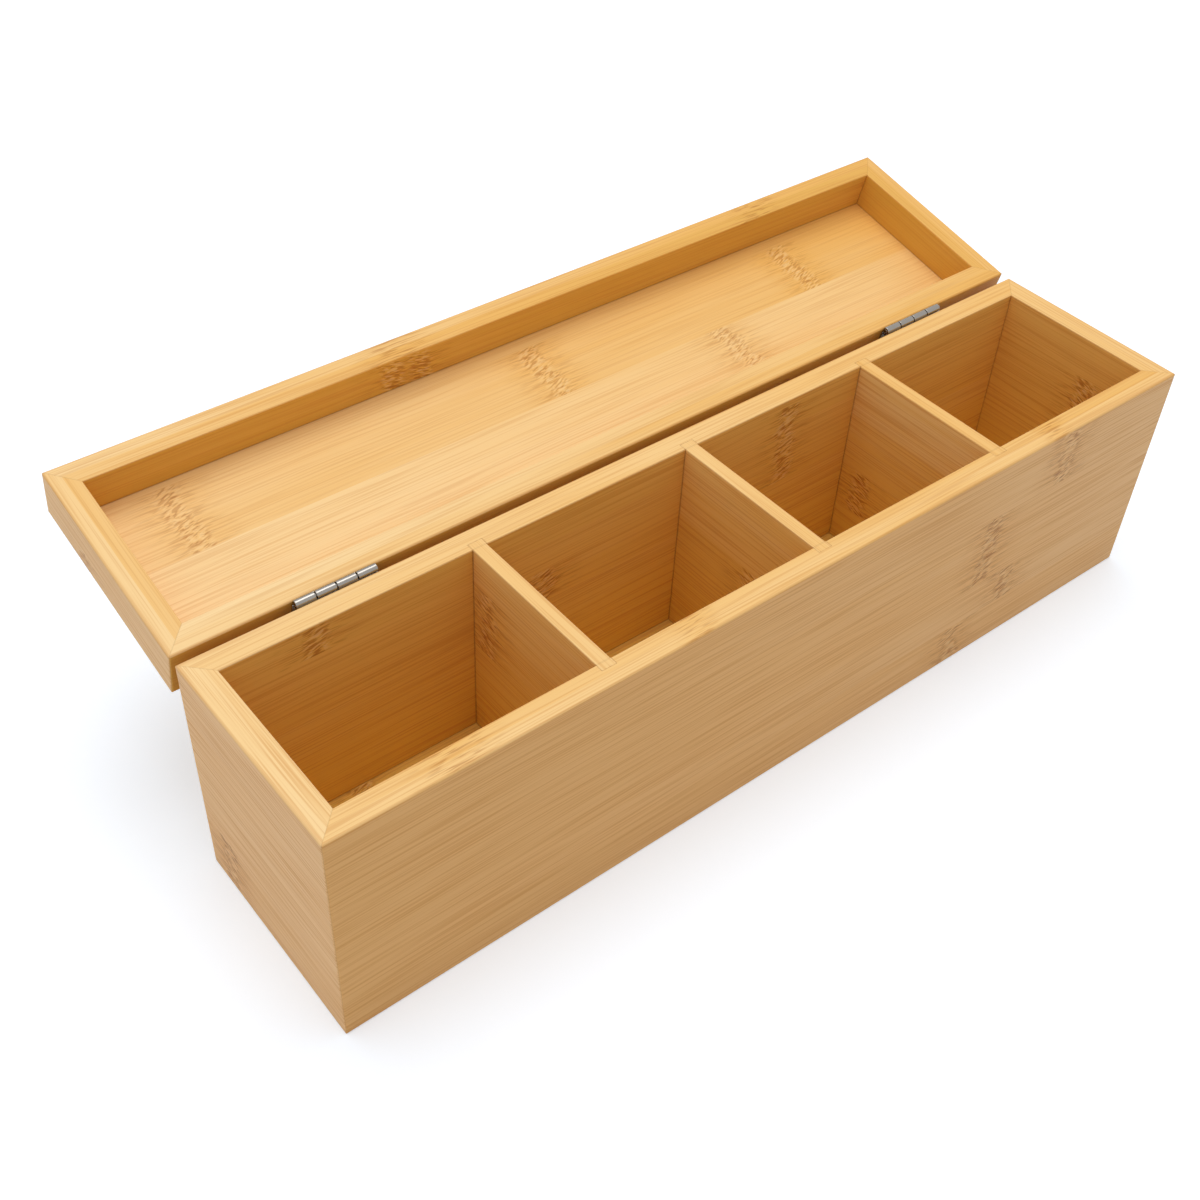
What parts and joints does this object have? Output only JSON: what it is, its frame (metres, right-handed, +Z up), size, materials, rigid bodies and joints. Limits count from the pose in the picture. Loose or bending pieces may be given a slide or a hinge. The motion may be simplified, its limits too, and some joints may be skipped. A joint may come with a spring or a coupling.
{
  "type": "tea bag organizer box",
  "caption": "Long bamboo tea bag box with mitred walls, housed dividers making a row of compartments, and a shallow framed lid on small butt hinges, shown open.",
  "frame": {"origin": "centre of the underside of the box, on the surface it stands on", "axes": "+X along the box to the right, -Y the front, +Z up; the lid opens towards +Y"},
  "size_m": [0.38, 0.1735, 0.1127],
  "materials": {
    "front_wall_bamboo": "satin lacquered bamboo",
    "back_wall_bamboo": "satin lacquered bamboo",
    "left_wall_bamboo": "satin lacquered bamboo",
    "right_wall_bamboo": "satin lacquered bamboo",
    "bottom_board_bamboo": "satin lacquered bamboo",
    "left_divider_bamboo": "satin lacquered bamboo",
    "middle_divider_bamboo": "satin lacquered bamboo",
    "right_divider_bamboo": "satin lacquered bamboo",
    "lid_front_rail_bamboo": "satin lacquered bamboo",
    "lid_back_rail_bamboo": "satin lacquered bamboo",
    "lid_left_rail_bamboo": "satin lacquered bamboo",
    "lid_right_rail_bamboo": "satin lacquered bamboo",
    "lid_panel_bamboo": "satin lacquered bamboo",
    "hinge_steel": "satin nickel plated",
    "pin_steel": "drawn steel wire",
    "screw_steel": "zinc plated"
  },
  "bodies": {
    "box": {"front_wall": "front_wall_bamboo", "back_wall": "back_wall_bamboo", "left_wall": "left_wall_bamboo", "right_wall": "right_wall_bamboo", "bottom_board": "bottom_board_bamboo", "left_divider": "left_divider_bamboo", "middle_divider": "middle_divider_bamboo", "right_divider": "right_divider_bamboo", "left_hinge_box_leaf": "hinge_steel", "left_hinge_pin": "pin_steel", "left_hinge_box_screws": "screw_steel", "right_hinge_box_leaf": "hinge_steel", "right_hinge_pin": "pin_steel", "right_hinge_box_screws": "screw_steel"},
    "lid": {"lid_front_rail": "lid_front_rail_bamboo", "lid_back_rail": "lid_back_rail_bamboo", "lid_left_rail": "lid_left_rail_bamboo", "lid_right_rail": "lid_right_rail_bamboo", "lid_panel": "lid_panel_bamboo", "left_hinge_lid_leaf": "hinge_steel", "left_hinge_lid_screws": "screw_steel", "right_hinge_lid_leaf": "hinge_steel", "right_hinge_lid_screws": "screw_steel"}
  },
  "joints": [
    {"name": "lid_hinge", "type": "hinge", "parent": "box", "child": "lid", "pos_m": [0, 0.0437, 0.0951], "axis": [1, 0, 0], "range_deg": [0, 168]}
  ]
}
